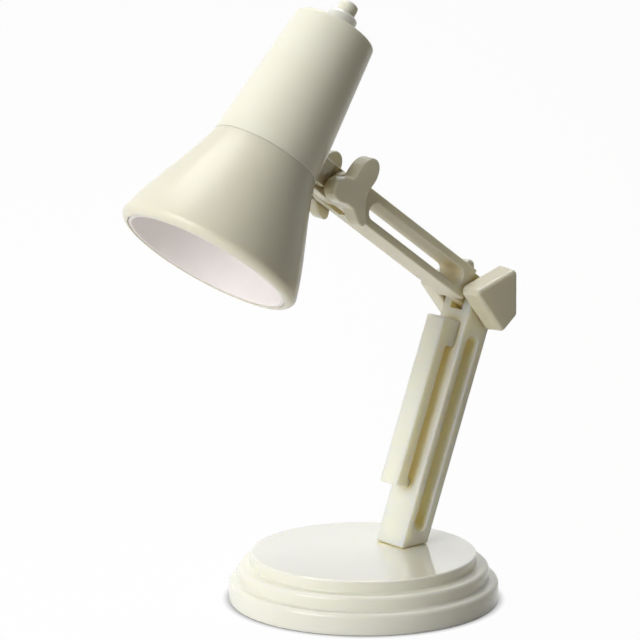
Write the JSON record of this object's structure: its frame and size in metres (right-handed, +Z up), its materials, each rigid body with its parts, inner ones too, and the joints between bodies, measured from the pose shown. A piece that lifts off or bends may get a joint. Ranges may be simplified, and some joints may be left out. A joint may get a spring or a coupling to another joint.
{
  "type": "clip-on book light",
  "caption": "Miniature balanced-arm lamp: stepped round foot with a flush clip, slotted arms with side plates, tilting turned head with flared shade and push button.",
  "frame": {"origin": "on the resting surface, at the middle of the round foot", "axes": "+Z up, -Y to the front (the side the shade points to), +X to the side seen in the picture"},
  "size_m": [0.05, 0.0799, 0.1115],
  "materials": {
    "cream_plastic": "gloss moulded ivory",
    "white_plastic": "satin white",
    "dark_plastic": "matte black",
    "rubber": "matte",
    "steel": "zinc plated",
    "cell_can": "polished can",
    "brass": "bright",
    "board": "solder mask",
    "led_epoxy": "clear epoxy"
  },
  "bodies": {
    "base": {"base_shell": "cream_plastic", "base_plate": "cream_plastic", "base_weight": "steel", "base_screws": "steel", "clip_pin": "steel", "clip_spring": "steel"},
    "clip": {"clip_jaw": "cream_plastic", "jaw_pad": "rubber"},
    "lower_arm": {"lower_arm": "cream_plastic", "spring_bar": "cream_plastic", "swivel_washer": "brass", "swivel_screw": "steel", "elbow_pin": "steel", "elbow_washers": "dark_plastic", "elbow_plate_near": "cream_plastic", "elbow_plate_far": "cream_plastic"},
    "upper_arm": {"upper_arm": "cream_plastic"},
    "head": {"lamp_housing": "cream_plastic", "head_pin": "steel", "head_washers": "dark_plastic", "head_plate_near": "cream_plastic", "head_plate_far": "cream_plastic", "battery_sleeve": "dark_plastic", "battery_cells": "cell_can", "contact_plates": "brass", "switch_body": "dark_plastic", "led_board": "board", "led": "led_epoxy", "button_collar": "cream_plastic"},
    "button": {"switch_button": "cream_plastic"},
    "shade": {"shade": "cream_plastic", "reflector": "white_plastic"}
  },
  "joints": [
    {"name": "base_swivel", "type": "hinge", "parent": "base", "child": "lower_arm", "pos_m": [0, 0.0091, 0.009], "axis": [0, 0, 1], "range_deg": [-45, 45]},
    {"name": "elbow", "type": "hinge", "parent": "lower_arm", "child": "upper_arm", "pos_m": [0, 0.02632, 0.05434], "axis": [1, 0, 0], "range_deg": [-50, 15]},
    {"name": "head_tilt", "type": "hinge", "parent": "upper_arm", "child": "head", "pos_m": [0, -0.00677, 0.07769], "axis": [1, 0, 0], "range_deg": [-45, 40]},
    {"name": "button_press", "type": "slide", "parent": "head", "child": "button", "axis": [0, -0.6046, -0.7965], "range_m": [0, 0.0007], "stiffness_N_per_m": 400, "springref_m": -0.001},
    {"name": "shade_twist", "type": "hinge", "parent": "head", "child": "shade", "pos_m": [0, -0.02291, 0.08504], "axis": [0, 0.6046, 0.7965], "range_deg": [0, 40]},
    {"name": "clip_open", "type": "hinge", "parent": "base", "child": "clip", "pos_m": [0, 0.016, 0.002], "axis": [1, 0, 0], "range_deg": [0, 25], "stiffness_Nm_per_rad": 0.05, "springref_deg": -28.65, "deforming": ["clip_spring"]}
  ]
}
